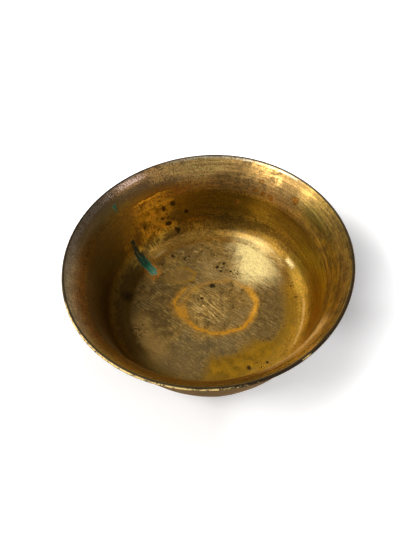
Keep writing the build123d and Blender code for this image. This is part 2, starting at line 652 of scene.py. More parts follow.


# %% [markdown]
# The wall keeps a honey gold between its turning lines, with darker smears round it. At the right back,
# where the main lamp lights it most, it is painted darker, partly smears and partly painted shade, and it
# is worn at the right front. The corner under it is a redder gold. At the back it is painted dull, partly
# dirt and partly painted shade, and at the right front it carries a painted highlight. Several materials
# on the faces could do that, but they would meet in hard lines round the bowl. Here a sector of the turn
# is crossed with a band of the station, and the fade of both makes a soft area.

# %% Wall and corner
honey_brass = (0.54, 0.39, 0.07)
wall_smear = (0.23, 0.142, 0.017)
right_smear_and_shade = (0.090, 0.053, 0.010)
worn_brass = (0.39, 0.31, 0.047)
corner_gold = (0.80, 0.41, 0.050)
corner_shade = (0.30, 0.150, 0.018)
corner_highlight = (0.98, 0.60, 0.09)
above_corner = (0.27, 0.182, 0.022)

smeared_shade_sector = (24.0, 16.0, 20.0)
worn_right = ((328.0, 30.0, 24.0), (1.3, 3.5, 0.3))
corner_band = (0.7, 1.6, 0.7)
dull_right_shade = ((46.0, 28.0, 24.0), (1.3, 2.0, 0.25))
dull_left_shade = ((124.0, 14.0, 14.0), (1.35, 2.2, 0.35))
corner_highlight_sector = (332.0, 32.0, 22.0)
above_right = ((356.0, 18.0, 18.0), (1.7, 2.3, 0.3))


def wall_coats(r, here, finish):
    """Turning lines and smears, a dark smear and painted shade at the right back, worn metal at the right
    front.
    """
    lines = r.ramp(here.turning, 0.44, 0.60)
    finish.coat(r.times(lines, here.wall, 0.35), wall_smear)
    smears = r.ramp(here.smears, 0.44, 0.64)
    finish.coat(r.times(smears, here.wall, 0.3), wall_smear, roughness=0.3)
    # At the right back the wall is painted darker: partly a smear, partly painted shade where the main lamp
    # lights it.
    smeared = facing(r, here.around, smeared_shade_sector)
    finish.coat(r.times(smeared, here.wall, 0.9), right_smear_and_shade, roughness=0.32)
    finish.coat(r.times(area(r, here, worn_right, here.station), 0.8), worn_brass, roughness=0.3)


def corner_coats(r, here, finish):
    """A redder gold with a ragged edge, dirt and painted shade at the back, a painted highlight at the right
    front, darker above.
    """
    bent = r.sum(here.station, here.rough_edge)
    corner = between(r, bent, corner_band)
    finish.coat(corner, r.mix(r.ramp(here.tone, 0.42, 0.58), corner_shade, corner_gold), roughness=0.38)
    # At the back the corner is dulled by dirt and by painted shade, which dims the lamp's reflection there.
    dull = r.most(area(r, here, dull_right_shade, bent), area(r, here, dull_left_shade, bent))
    finish.coat(r.times(dull, 0.8), right_smear_and_shade, roughness=0.5)
    # A painted highlight in the corner at the right front.
    bright = r.times(facing(r, here.around, corner_highlight_sector), corner, r.ramp(here.tone, 0.40, 0.56, 0.65, 1.0))
    finish.coat(bright, corner_highlight, roughness=0.62)
    finish.coat(r.times(area(r, here, above_right, bent), 0.75), above_corner, roughness=0.34)


# %% [markdown]
# The flare is paler than the wall, because hands and cloths reach it: a thin brown film on the left, bare
# and speckled brass at the back, and on the right a dirty gold. Grey specks on the rim at the back left and
# near-white specks along the far edge are painted highlights. A gradient round the turn could carry the
# colours, but the edges between them are of several kinds. So each film is a sector of its own, broken by
# the same noise.

# %% The flare
flare_brass = (1.0, 0.60, 0.195)
flare_dull = (0.60, 0.355, 0.105)
brown_film = (0.72, 0.52, 0.275)
brown_shade = (0.45, 0.315, 0.155)
dark_film = (0.19, 0.105, 0.036)
rim_grey_highlight = (0.46, 0.36, 0.28)
grime = (0.12, 0.075, 0.026)
right_gold = (0.31, 0.25, 0.050)
right_pale = (0.37, 0.232, 0.047)
dirt = (0.10, 0.066, 0.024)
edge_highlight_brass = (1.0, 0.85, 0.56)
near_brass = (0.56, 0.37, 0.09)

brown_sector = (185.0, 70.0, 28.0)
dark_sector = (138.0, 24.0, 20.0)
grey_rim_highlight = ((150.0, 22.0, 18.0), (3.78, 3.95, 0.08))
grimy_sector = (58.0, 18.0, 14.0)
grime_streak = (41.0, 3.0, 6.0)
right_sector = (350.0, 32.0, 20.0)
dirty_band = (2.7, 4.0, 0.3)
bright_back = ((94.0, 13.0, 14.0), (3.5, 3.95, 0.15))
bright_edge_highlight = ((74.0, 22.0, 16.0), (3.9, 3.955, 0.03))
near_sector = (262.0, 34.0, 22.0)


def flare_films(r, here, finish):
    """Speckled brass all round, then a brown film on the left, darkest at the back left, with a painted grey
    highlight on the rim there.
    """
    tone = r.ramp(r.weigh((here.tone, 0.7), (here.smears, 0.3)), 0.42, 0.58)
    finish.coat(here.flare, r.mix(tone, flare_dull, flare_brass), roughness=r.blend(tone, 0.38, 0.27))
    brown = r.mix(r.ramp(here.tone, 0.42, 0.60), brown_shade, brown_film)
    finish.coat(r.times(facing(r, here.around, brown_sector), here.flare), brown, roughness=0.26)
    finish.coat(r.times(facing(r, here.around, dark_sector), here.flare, 0.85), dark_film, roughness=0.2)
    # Grey specks on the rim at the back left are a painted highlight.
    rim = r.times(area(r, here, grey_rim_highlight, here.station), r.ramp(here.tone, 0.44, 0.54, 0.1, 0.55))
    finish.coat(rim, rim_grey_highlight, roughness=0.26)


def flare_dirt(r, here, finish):
    """Specks and a streak of grime at the back right, and a dull gold under streaks of dirt on the right."""
    specks = r.times(facing(r, here.around, grimy_sector), r.ramp(here.tone, 0.47, 0.54))
    streak = r.times(facing(r, here.around, grime_streak), 0.8)
    finish.coat(r.times(r.most(specks, streak), here.flare, 0.92), grime, roughness=0.5)
    right = facing(r, here.around, right_sector)
    gold = r.mix(r.ramp(here.station, 3.3, 3.7), right_gold, right_pale)
    finish.coat(r.times(right, here.flare, 0.92), gold, roughness=0.3)
    streaks = r.ramp(r.weigh((here.smears, 0.35), (here.tone, 0.65)), 0.47, 0.55)
    finish.coat(r.times(right, between(r, here.station, dirty_band), streaks, 0.75), dirt, roughness=0.5)


def flare_lights(r, here, finish):
    """Specks of bright brass high at the back, painted highlight specks along the edge there, and plain
    darker brass in front.
    """
    high = r.times(area(r, here, bright_back, here.station), r.ramp(here.tone, 0.46, 0.54, 0.2, 0.9))
    finish.coat(high, flare_brass, roughness=0.48)
    # Near-white specks along the far edge are a painted highlight.
    edge = r.times(area(r, here, bright_edge_highlight, here.station), r.ramp(here.tone, 0.44, 0.54, 0.25, 0.8))
    finish.coat(edge, edge_highlight_brass, roughness=0.5)
    finish.coat(r.times(facing(r, here.around, near_sector), here.flare), near_brass, roughness=0.26)


# %% [markdown]
# The floor has an olive film over its turning marks. The film ends in a wavy line near the front and the
# right, where the bare metal is a deep gold. A second object for the film would flicker where it lies so
# close over the metal. So the film is a mask, and its edge is a circle that noise bends in and out.

# %% The floor's film
olive_light = (0.47, 0.275, 0.066)
olive_dark_and_shade = (0.15, 0.095, 0.03)
grey_film = (0.22, 0.155, 0.065)
left_film = (0.72, 0.42, 0.115)
deep_gold = (0.92, 0.46, 0.026)
dull_gold = (0.40, 0.205, 0.018)
scoured_and_lit_brass = (0.95, 0.62, 0.20)

film_fade = (31.5, 38.5)
film_front = (289.0, 20.0, 14.0)
bare_sector = (317.0, 48.0, 14.0)
shaded_film_left = ((160.0, 40.0, 24.0), (18.0, 28.0, 5.0))
lit_film_back = ((72.0, 16.0, 18.0), (17.0, 25.0, 5.0))
left_sector, left_fade = (222.0, 26.0, 14.0), (27.0, 33.0)
dark_right = ((345.0, 28.0, 18.0), (23.5, 33.0, 2.5))
grey_front = ((262.0, 24.0, 18.0), (21.0, 39.0, 4.0))


def floor_film(r, here, finish):
    """Gold over the whole floor, and olive film by mottled noise inside its wavy edge."""
    front = facing(r, here.around, film_front)
    wavy = r.sum(here.radius, r.weigh((here.rough_edge, 24.0), (front, 7.0)))
    bare = r.times(r.ramp(wavy, *film_fade), facing(r, here.around, bare_sector))
    here.film = r.times(here.floor, r.minus(1.0, bare))
    finish.coat(here.floor, r.mix(r.ramp(here.tone, 0.42, 0.60), deep_gold, dull_gold), roughness=0.28)
    cloudy = r.weigh((here.mottle, 0.75), (here.grain, 0.25))
    finish.coat(here.film, r.mix(r.ramp(cloudy, 0.32, 0.60), olive_dark_and_shade, olive_light), roughness=0.42)


def film_shades(r, here, finish):
    """Where the film is darker, lighter or greyer: left (painted shade), back (painted light), in clouds, at
    both sides and in front.
    """
    # Darker film at the left is painted shade.
    dark = area(r, here, shaded_film_left, here.radius)
    finish.coat(r.times(dark, here.film, 0.65), olive_dark_and_shade)
    # Lighter film at the back is painted light.
    light = area(r, here, lit_film_back, here.radius)
    finish.coat(r.times(light, here.film, r.ramp(here.mottle, 0.40, 0.56, 0.2, 0.5)), scoured_and_lit_brass)
    grey = r.times(r.ramp(here.clouds, 0.46, 0.60), r.ramp(here.mottle, 0.40, 0.58))
    finish.coat(r.times(here.film, grey, 0.7), grey_film, roughness=0.5)
    left = r.times(facing(r, here.around, left_sector), r.ramp(here.radius, *left_fade))
    finish.coat(r.times(left, here.film, 0.8), left_film, roughness=0.36)
    right = area(r, here, dark_right, here.radius)
    finish.coat(r.times(right, here.film, r.ramp(here.mottle, 0.40, 0.56, 0.25, 0.65)), olive_dark_and_shade)
    finish.coat(r.times(area(r, here, grey_front, here.radius), here.film, 0.6), grey_film)


# %% [markdown]
# The whole floor was scoured in one direction, so its grain is straight. Fine strokes show in the film,
# and bolder ones in the middle. At the back right a four-sided patch is painted pale brass: partly rubbed
# clean, partly a painted highlight where the main lamp's reflection lies. A scratch texture from a picture
# would repeat, and a noise doesn't. Stretched along the scouring, the noise becomes strokes.

# %% Scouring and the patch of painted highlight
rubbed_and_highlight_brass = (0.96, 0.80, 0.37)
far_gold = (0.90, 0.50, 0.10)

scouring_angle = -45.0
scoured_middle, scoured_fade = (-1.0, -1.0, 0.0), (12.0, 5.0)
far_corner = ((92.0, 34.0, 18.0), (39.5, 43.0, 2.5))
highlight_left, highlight_right = (9.0, 21.0), (39.0, 26.0)
highlight_front, highlight_back = (4.0, 17.0), (47.0, 37.0)


def scoured_floor(r, here, finish):
    """Bright strokes, bold in the middle and fine elsewhere, with darker ones between them."""
    fine = strokes(r, here.flat, scouring_angle + 6.0, length=4.5, spacing=0.6)
    bold = strokes(r, here.flat, scouring_angle - 2.0, length=7.0, spacing=0.9)
    middle = r.ramp(r.distance(here.flat, scoured_middle), *scoured_fade)
    patchy = r.times(here.film, r.ramp(here.mottle, 0.40, 0.60, 0.2, 1.0))
    bright = r.most(r.times(r.ramp(bold, 0.50, 0.60), middle), r.times(r.ramp(fine, 0.52, 0.66), 0.45))
    finish.coat(r.times(bright, r.most(patchy, middle)), scoured_and_lit_brass, roughness=0.4)
    finish.coat(r.times(r.ramp(fine, 0.46, 0.36), patchy, 0.5), olive_dark_and_shade, roughness=0.5)
    here.scratches = r.times(patchy, r.sum(r.times(bold, middle), fine))


def rubbed_highlight_patch(r, here, finish):
    """Gold in the corner behind, then the patch of painted highlight: ragged at its left and back, streaked
    where it fades.
    """
    streaks = strokes(r, here.flat, scouring_angle, length=8.0, spacing=0.9)
    far = r.times(area(r, here, far_corner, here.along), r.ramp(here.tone, 0.42, 0.56, 0.25, 0.8))
    finish.coat(far, far_gold, roughness=0.38)
    drift = r.times(r.minus(streaks, 0.5), 16.0)
    left = r.ramp(r.sum(here.x, r.times(here.rough_edge, 14.0)), *highlight_left)
    right = r.ramp(r.sum(here.x, drift), *highlight_right)
    front = r.ramp(r.sum(here.y, drift), *highlight_front)
    back = r.ramp(r.sum(here.along, r.times(here.rough_edge, 9.0)), *highlight_back)
    brushed = r.ramp(r.weigh((streaks, 0.7), (here.tone, 0.3)), 0.36, 0.52, 0.85, 1.0)
    # The pale patch is partly rubbed brass and partly a painted highlight.
    finish.coat(r.times(left, right, front, back, brushed), rubbed_and_highlight_brass, roughness=0.62)


# %% [markdown]
# The wall and the corner at the left are a dark brown, partly tarnish and partly painted shade on the side
# that faces away from the main lamp, darkest low down. A second material would end in a hard line. A thin
# coat with long fades, that follows the way along the section, lets the brass show through as tarnish does.

# %% Tarnish and painted shade
low_tarnish_and_shade = (0.27, 0.185, 0.048)
high_tarnish_and_shade = (0.50, 0.40, 0.20)
corner_dirt_and_shade = (0.105, 0.052, 0.009)

tarnished_shaded_wall = ((192.0, 38.0, 34.0), (43.0, 72.0, 6.0))
tarnished_shaded_back = ((154.0, 12.0, 16.0), (57.0, 76.0, 6.0))
dirty_shaded_corner = ((181.0, 26.0, 24.0), (39.5, 44.0, 4.0))


def left_tarnish_and_shade(r, here, finish):
    """Tarnish and painted shade on the left of the wall, darker towards the corner, with dirt and painted
    shade in it, all soft.
    """
    inward = r.sum(here.along, r.times(here.rough_edge, 9.0))
    brown = r.mix(r.ramp(inward, 50.0, 72.0), low_tarnish_and_shade, high_tarnish_and_shade)
    # The left of the wall is painted dark: tarnish, and painted shade on the side away from the main lamp.
    finish.coat(r.times(area(r, here, tarnished_shaded_wall, inward), 0.93), brown, roughness=0.33)
    finish.coat(r.times(area(r, here, tarnished_shaded_back, inward), 0.65), low_tarnish_and_shade)
    finish.coat(r.times(area(r, here, dirty_shaded_corner, inward), 0.85), corner_dirt_and_shade, roughness=0.42)


# %% [markdown]
# Close up, brass that was turned and then went dull is full of fine lines, clots and specks. A bump
# alone would show them only in the lamp's reflection. So one factor darkens and brightens all the coats
# so far. It is weak where a film covers the metal, and the bright marks that come later stay clear of
# it.

# %% Fine texture
calm_sector = (185.0, 70.0, 30.0)


def fine_texture(r, here, finish):
    """Lines round the turn, specks and clots, each a factor about 1, calmer on the floor and at the left."""
    left = r.times(facing(r, here.around, calm_sector), 0.75)
    calm = r.most(here.floor, left, r.ramp(here.station, 2.3, 1.5, 0.0, 0.6))
    lines = r.ramp(here.turning, 0.34, 0.66, r.blend(calm, 0.68, 1.0), r.blend(calm, 1.32, 1.0))
    specks = r.ramp(here.grit, 0.32, 0.68, r.blend(calm, 0.55, 0.90), r.blend(calm, 1.45, 1.10))
    clots = r.ramp(here.grain, 0.34, 0.66, r.blend(calm, 0.80, 0.90), r.blend(calm, 1.20, 1.10))
    finish.tint(r.times(lines, specks, clots))


# %% [markdown]
# High on the back left wall the metal is orange. Two long bright lines run round the wall, and short
# strokes hatch the metal under them, all a bright orange: painted highlights on ridges of the metal, over
# its orange colour. Voronoi cells make such lines too, but closed ones like dried mud. Laid out flat, by
# distance round and height, the same strokes as on the floor can lie at any angle.

# %% The orange patch and its painted highlights
orange_and_ridge_highlight = (1.0, 0.67, 0.11)

crazed_middle = 117.0
crazed_sector, crazed_heights = (118.0, 6.0, 8.0), (16.0, 33.0, 4.0)
crazed_beyond = ((132.0, 8.0, 12.0), (11.0, 26.0, 6.0))
ridge_highlight_heights, ridge_highlight_edge = (36.3, 31.0), (0.9, 0.3)


def hatched_highlights(r, here):
    """Painted highlight strokes, nearly upright and nearly level, on a sheet of distance round the wall and
    height.
    """
    way = np.radians(crazed_middle)
    sideways = r.dot(here.flat, (-np.sin(way), np.cos(way), 0.0))
    sheet = r.vector(sideways, here.z, 0.0)
    upright = r.ramp(strokes(r, sheet, 84.0, length=5.0, spacing=0.75), 0.50, 0.56)
    level = r.ramp(strokes(r, sheet, 6.0, length=6.0, spacing=0.8), 0.52, 0.58)
    clumps = r.ramp(r.weigh((here.clouds, 0.3), (here.mottle, 0.7)), 0.42, 0.58)
    return r.times(r.most(upright, level), clumps)


def crazed_patch(r, here, finish):
    """Faint hatching beside the patch, a blush over it, hatching and two long lines of painted highlight,
    and dark specks between.
    """
    hatching = hatched_highlights(r, here)
    sector = facing(r, here.around, crazed_sector)
    zone = r.times(sector, between(r, here.z, crazed_heights))
    bent = r.sum(here.z, r.times(here.rough_edge, 5.0))
    lines = r.most(*(r.ramp(r.off(bent, height), *ridge_highlight_edge) for height in ridge_highlight_heights))
    ridge_highlights = r.times(lines, sector, r.ramp(here.grain, 0.36, 0.50))
    # The hatching and the two long lines are painted highlights on ridges, in the patch's orange.
    finish.coat(r.times(area(r, here, crazed_beyond, here.z), hatching, 0.4), orange_and_ridge_highlight, roughness=0.36)
    finish.coat(r.times(zone, r.ramp(here.mottle, 0.40, 0.56, 0.1, 0.45)), orange_and_ridge_highlight, roughness=0.36)
    finish.coat(r.most(r.times(zone, hatching), ridge_highlights), orange_and_ridge_highlight, roughness=0.33)
    finish.coat(r.times(zone, r.ramp(here.tone, 0.50, 0.42), 0.65), wall_smear, roughness=0.4)


# %% [markdown]
# A few creases carry painted highlights: a thin line round the corner at the right and one under the
# flare at the front, with a pink one on the left of the rim and two short painted glints in the corner.
# Modelled edges would be wider than these lines. A line is the distance from one height or one way
# along, faded within a millimetre.

# %% Painted highlights in the creases
highlight_gold = (1.0, 0.64, 0.20)
glint_grey = (0.92, 0.73, 0.33)
highlight_pink = (0.58, 0.45, 0.37)

low_highlight, low_highlight_edge, low_highlight_sector = 43.5, (0.9, 0.15), (339.0, 13.0, 8.0)
high_highlight, high_highlight_edge, high_highlight_sector = 40.5, (5.0, 0.8), (306.0, 13.0, 10.0)
pink_highlight = ((125.0, 3.5, 5.0), (3.78, 3.88, 0.05))
back_glint = ((126.0, 1.0, 6.0), (39.8, 39.9, 1.3))
right_glint = ((24.0, 0.5, 5.0), (44.6, 44.7, 2.0))


def crease_highlights(r, here, finish):
    """Two painted highlight lines that wobble, one by the way along and one by height, then the pink
    highlight and the glints.
    """
    # Every mark here is a painted highlight or a painted glint.
    wobble = r.times(here.rough_edge, 2.4)
    low = r.ramp(r.off(r.sum(here.along, wobble), low_highlight), *low_highlight_edge)
    low = r.times(low, facing(r, here.around, low_highlight_sector))
    high = r.ramp(r.off(r.sum(here.z, wobble), high_highlight), *high_highlight_edge)
    high = r.times(high, facing(r, here.around, high_highlight_sector))
    worn = r.times(r.most(low, high), r.ramp(here.grain, 0.36, 0.52, 0.4, 1.0))
    finish.coat(worn, highlight_gold, roughness=0.5, metal=0.7)
    pink = r.times(area(r, here, pink_highlight, here.station), r.ramp(here.grain, 0.44, 0.56, 0.1, 0.7))
    finish.coat(pink, highlight_pink, roughness=0.24)
    streaks = r.most(area(r, here, back_glint, here.along), area(r, here, right_glint, here.along))
    streaks = r.times(streaks, r.ramp(here.grain, 0.36, 0.54, 0.3, 0.7))
    finish.coat(streaks, glint_grey, roughness=0.45, metal=0.8)


# %% [markdown]
# A cup stood in the bowl and left an orange ring, with a fainter one beside it and the mark of a drop
# behind. A curve object laid on the floor would have one width and one colour. Each mark is the line
# where an oval's distance is 1. Slow noise bends the ovals, and fine noise breaks their lines.

# %% Ring stains
orange_stain = (0.62, 0.27, 0.010)
bright_stain = (0.85, 0.43, 0.045)

first_ring = ((4.3, -1.4), (16.9, 14.4))
second_ring = ((1.5, 1.0), (18.3, 13.0))
drop_mark = ((-14.5, 18.3), (7.8, 5.0))
strong_sector = (300.0, 75.0, 50.0)
second_sector = (187.0, 40.0, 22.0)
gap_sector = (215.0, 30.0, 25.0)
wide_sector = (5.0, 22.0, 24.0)
drop_sector = (0.0, 80.0, 60.0)
print("cup rings, mm across:", [(2 * wide, 2 * deep) for _, (wide, deep) in (first_ring, second_ring)])


def stained_line(r, off, core, halo):
    """A firm line within a fainter halo. Core and halo are the distances off the line where each fades."""
    return r.most(r.ramp(off, *core), r.times(r.ramp(off, *halo), 0.4))


def ring_stains(r, here, finish):
    """Two wavy ovals, the first strong at the front and right, the second on the left, joined between."""
    here.wavy = r.push(r.push(here.flat, 0.12, 5.0), 0.5, 1.1)
    first, second = oval(r, here.wavy, *first_ring), oval(r, here.wavy, *second_ring)
    off_first, off_second = r.off(r.length(first), 1.0), r.off(r.length(second), 1.0)
    strength = r.sum(r.times(facing(r, r.unit(first), strong_sector), 0.65), 0.35)
    broken = r.ramp(r.weigh((here.grain, 0.6), (here.mottle, 0.5)), 0.40, 0.58, 0.35, 1.0)
    line = r.times(stained_line(r, off_first, (0.075, 0.03), (0.2, 0.03)), strength, broken)
    faint = stained_line(r, off_second, (0.06, 0.02), (0.2, 0.05))
    faint = r.times(faint, facing(r, r.unit(second), second_sector))
    gap = r.times(r.ramp(r.length(first), 0.96, 1.02), r.ramp(r.length(second), 1.06, 1.0))
    gap = r.times(gap, facing(r, r.unit(first), gap_sector), 0.9)
    here.stain = r.times(r.most(line, r.times(r.most(faint, gap), broken, 0.9)), here.floor)
    finish.coat(here.stain, orange_stain, roughness=0.5, metal=0.6)
    wide = r.times(r.ramp(off_first, 0.16, 0.04), facing(r, r.unit(first), wide_sector))
    finish.coat(r.times(wide, r.ramp(here.tone, 0.40, 0.56, 0.3, 0.8)), bright_stain, roughness=0.5)


def dried_drop(r, here, finish):
    """A light oval with a dark edge on its right."""
    drop = oval(r, here.wavy, *drop_mark)
    across = r.length(drop)
    finish.coat(r.times(r.ramp(across, 1.05, 0.9), 0.5), olive_light, roughness=0.4)
    edge = r.times(r.ramp(r.off(across, 1.0), 0.14, 0.03), facing(r, r.unit(drop), drop_sector))
    finish.coat(r.times(edge, 0.8), dull_gold, roughness=0.5)


# %% [markdown]
# Water ran down the back left wall and left verdigris, a blue-green copper salt: almost black where it
# is thick on the wall, paler where it dried on the floor, and with an orange fringe there. A thin lumpy
# mesh could carry it, but it is hardly thicker than paint. In plan the run is straight, so it is the
# distance from a line, and the way along the section sets its width and colour.

# %% Verdigris
thick_green = (0.005, 0.020, 0.011)
teal = (0.012, 0.155, 0.088)
pale_teal = (0.12, 0.31, 0.20)
fringe_red = (0.50, 0.12, 0.012)

run_top, run_end = np.array([-36.3, 32.6]), np.array([-25.6, 19.8])
run_length = np.hypot(*(run_end - run_top))
run_across = np.array([run_top[1] - run_end[1], run_end[0] - run_top[0]]) / run_length
run_angle = np.degrees(np.arctan2(*(run_end - run_top)[::-1]))
run_side = (-20.0, -22.0)
run_band, fringe_band = (33.0, 55.0, 1.5), (31.5, 39.0, 2.0)
green_dots = [(-40.6, 35.4, 42.3, 1.5), (-40.0, 34.6, 40.6, 1.0)]
print("verdigris runs", run_length.round(1), "mm in plan, at", run_angle.round(1), "degrees")


def verdigris_fringe(r, here, finish):
    """The distance off the run's line, kept for the run, and orange specks on both sides of its end."""
    sideways = r.sum(r.dot(here.flat, (*run_across, 0.0)), r.times(here.rough_edge, 5.0))
    here.off_run = r.off(sideways, float(run_across @ run_top))
    here.run_side = r.ramp(here.x, *run_side)
    fringe = r.times(r.ramp(here.off_run, 4.4, 2.2), r.ramp(here.grain, 0.45, 0.54))
    fringe = r.times(fringe, here.run_side, between(r, here.along, fringe_band))
    red = r.mix(r.ramp(here.grit, 0.4, 0.6), fringe_red, orange_stain)
    finish.coat(fringe, red, roughness=0.6, metal=0.2)


def verdigris_run(r, here, finish):
    """A run that is widest in the corner and tapers at its end, streaked along its length, and two dots."""
    wide = r.minus(r.ramp(here.along, 54.0, 42.0, 1.2, 2.3), r.ramp(here.along, 34.6, 32.6, 0.0, 1.3))
    run = r.times(r.ramp(r.minus(wide, here.off_run), -0.3, 0.7), here.run_side)
    run = r.times(run, between(r, here.along, run_band))
    drawn = strokes(r, here.flat, run_angle, length=6.0, spacing=0.7)
    run = r.times(run, r.ramp(r.weigh((drawn, 0.6), (here.grain, 0.4)), 0.36, 0.44, 0.3, 1.0))
    streaked = r.sum(here.along, r.times(r.minus(drawn, 0.5), 22.0))
    wet = r.mix(r.ramp(streaked, 38.5, 34.0), teal, pale_teal)
    finish.coat(run, r.mix(r.ramp(streaked, 38.0, 46.0), wet, thick_green), roughness=0.6, metal=0.0)
    dots = r.times(spots(r, here.pushed, green_dots), r.ramp(here.grit, 0.36, 0.48))
    finish.coat(dots, teal, roughness=0.7, metal=0.0)
    here.crust = r.most(run, dots)


# %% [markdown]
# Small casting pits have gone black, most of them in clusters on the floor. At the left a dark spot is the
# painted shade of a shallow dimple that the mesh doesn't have. The wall has larger brown blotches, and there
# are rust-coloured spots with darker edges high on the back. Random scatter would miss the clusters, so each
# mark has its own place. Those on the floor are placed in plan, and those on the wall by angle and height,
# on a cylinder near it. Noise pushes all of them out of round.

# %% Pits, blotches and spots
pit_black = (0.030, 0.018, 0.008)
blotch_brown = (0.045, 0.022, 0.006)
rust_edge = (0.10, 0.036, 0.006)
rust_orange = (0.46, 0.175, 0.008)

pits = [
    (-17.2, 30.3, 1.3), (-11.5, 28.4, 0.8), (-9.0, 29.5, 0.8), (8.0, 23.3, 1.2), (4.8, 21.5, 1.1),
    (6.1, 19.2, 0.8), (11.3, 18.1, 0.7), (1.3, 10.6, 1.6), (-4.0, 3.7, 1.0), (14.3, -34.6, 1.8),
    (22.4, -32.6, 0.9),
]
pit_clusters = [
    (-15.0, 29.5, 4.5), (-9.5, 28.0, 4.5), (6.5, 21.5, 6.0), (13.0, 16.5, 4.5), (1.3, 10.6, 3.2),
    (-4.0, 3.7, 2.5), (19.0, -34.0, 4.0), (-34.0, -11.0, 5.0), (-39.3, 8.0, 4.0), (39.4, -1.0, 2.6),
    (39.4, 6.6, 2.2),
]
dimple_shades = [(-39.6, 7.6, 4.2)]
wall_blotches = [
    (107.0, 28.7, 2.2), (113.0, 27.2, 1.9), (112.0, 18.0, 2.3), (127.0, 22.2, 1.4), (115.0, 22.2, 1.4),
    (100.0, 22.0, 1.6), (108.0, 13.2, 2.0),
]
rust_spots = [
    (58.0, 41.0, 1.4), (51.0, 35.1, 1.9), (37.0, 40.3, 1.9), (60.0, 35.7, 1.5), (56.0, 35.6, 1.4),
    (70.0, 27.3, 2.0),
]
wall_cylinder = 50.0
spotted_band, pitted_stop = (1.5, 3.9, 0.2), (1.9, 1.7)
print(len(pits), "pits and", len(pit_clusters), "clusters of them on the floor")
print(len(wall_blotches), "blotches and", len(rust_spots), "rust spots on the wall")


def on_floor(marks):
    """Places in plan, as spots at no height."""
    return [(x, y, 0.0, radius) for x, y, radius in marks]


def on_wall(marks):
    """Places by angle and height, as spots on the cylinder."""
    ways = [wall_cylinder * pointing(angle) for angle, _, _ in marks]
    return [(x, y, height, radius) for (x, y), (_, height, radius) in zip(ways, marks)]


def wall_spots(r, here, finish):
    """Rust spots with ragged edges, then broken blotches, both out of round on the cylinder."""
    inside = between(r, here.station, spotted_band)
    x, y, z = r.parts(here.pushed)
    here.pushed_flat = r.vector(x, y, 0.0)
    cylinder = r.stretch(r.unit(here.pushed_flat), (wall_cylinder, wall_cylinder, 0.0))
    pushed_wall = r.shift(cylinder, r.vector(0.0, 0.0, z))
    ragged = r.push(r.push(pushed_wall, 0.45, 2.6), 1.5, 1.2)
    rust = r.times(spots(r, ragged, on_wall(rust_spots), core=0.3), inside)
    eaten = r.times(r.ramp(rust, 0.05, 0.35), r.ramp(here.grain, 0.38, 0.50, 0.4, 1.0))
    middle = r.times(r.ramp(rust, 0.4, 0.8), r.ramp(here.grit, 0.42, 0.54))
    finish.coat(eaten, r.mix(middle, rust_edge, rust_orange), roughness=0.45, metal=0.8)
    blotches = r.times(spots(r, pushed_wall, on_wall(wall_blotches), core=0.2), inside)
    broken = r.ramp(here.tone, 0.40, 0.52, 0.35, 0.95)
    finish.coat(r.times(r.ramp(blotches, 0.1, 0.6), broken), blotch_brown, roughness=0.45)


def floor_pits(r, here, finish):
    """Single pits, clusters of fine dots, and the shade of the dimple."""
    lower = r.ramp(here.station, *pitted_stop)
    dots = r.ramp(r.noise(here.pushed, 1.25, 1.0, 0.5), 0.57, 0.63)
    clusters = r.times(spots(r, here.flat, on_floor(pit_clusters), core=0.3), dots)
    here.holes = r.times(r.most(spots(r, here.pushed_flat, on_floor(pits)), clusters), lower)
    finish.coat(r.times(here.holes, 0.95), pit_black, roughness=0.6, metal=1.0)
    # The dimple is painted shade only: a dark spot on the smooth floor.
    dimple = spots(r, here.flat, on_floor(dimple_shades), core=0.3)
    finish.coat(r.times(dimple, lower, 0.6), pit_black)


# %% [markdown]
# The outside was never polished and is a reddish brown, with some brass showing through. The lip's land
# is rubbed bright by hands on the left, and a painted glint lies on it at the front right. The rest of the
# land is brown, partly tarnish and partly painted shade, and its inner arris carries a dark line. An
# edge-wear mask from the curvature would brighten the whole lip alike, so the land and the line are narrow
# bands of the station.

# %% The lip and the outside
lip_brass = (0.85, 0.62, 0.24)
lip_brown_and_shade = (0.038, 0.024, 0.015)
lip_black = (0.018, 0.012, 0.008)
outside_brown = (0.042, 0.0140, 0.0090)
outside_light = (0.070, 0.0255, 0.0165)
outside_brass = (0.17, 0.088, 0.042)

outside_start = (4.72, 5.05)
lip_band, land_band, dark_arris_line = (4.3, 4.9, 0.1), (4.45, 4.55, 0.07), (3.965, 4.34, 0.03)
rubbed_lip, lip_glint = (236.0, 32.0, 18.0), (303.0, 1.0, 2.0)


def brown_outside(r, here, finish):
    """Brown in clouds and turning lines, with smears of brass where it was held."""
    outside = r.ramp(here.station, *outside_start)
    cloudy = r.weigh((here.clouds, 0.5), (here.mottle, 0.15), (here.turning, 0.35))
    brown = r.mix(r.ramp(cloudy, 0.38, 0.62), outside_brown, outside_light)
    finish.coat(outside, brown, roughness=0.36, metal=1.0)
    held = r.times(r.ramp(here.smears, 0.50, 0.64), r.ramp(here.clouds, 0.44, 0.60))
    finish.coat(r.times(outside, held, 0.35), outside_brass, roughness=0.3)


def worn_lip(r, here, finish):
    """A land of brown and painted shade, bright in places and with a painted glint, and a dark line inside
    it.
    """
    # Brown over the lip is partly tarnish and partly painted shade.
    finish.coat(between(r, here.station, lip_band), lip_brown_and_shade, roughness=0.42, metal=1.0)
    # The fleck at the front right is a painted glint.
    handled_and_glint = r.most(facing(r, here.around, rubbed_lip), facing(r, here.around, lip_glint))
    patchy = r.ramp(r.weigh((here.grain, 0.5), (here.mottle, 0.5), (handled_and_glint, 0.2)), 0.60, 0.74)
    land = between(r, here.station, land_band)
    finish.coat(r.times(land, patchy), lip_brass, roughness=0.28, metal=1.0)
    finish.coat(r.times(between(r, here.station, dark_arris_line), 0.93), lip_black, roughness=0.5, metal=0.2)


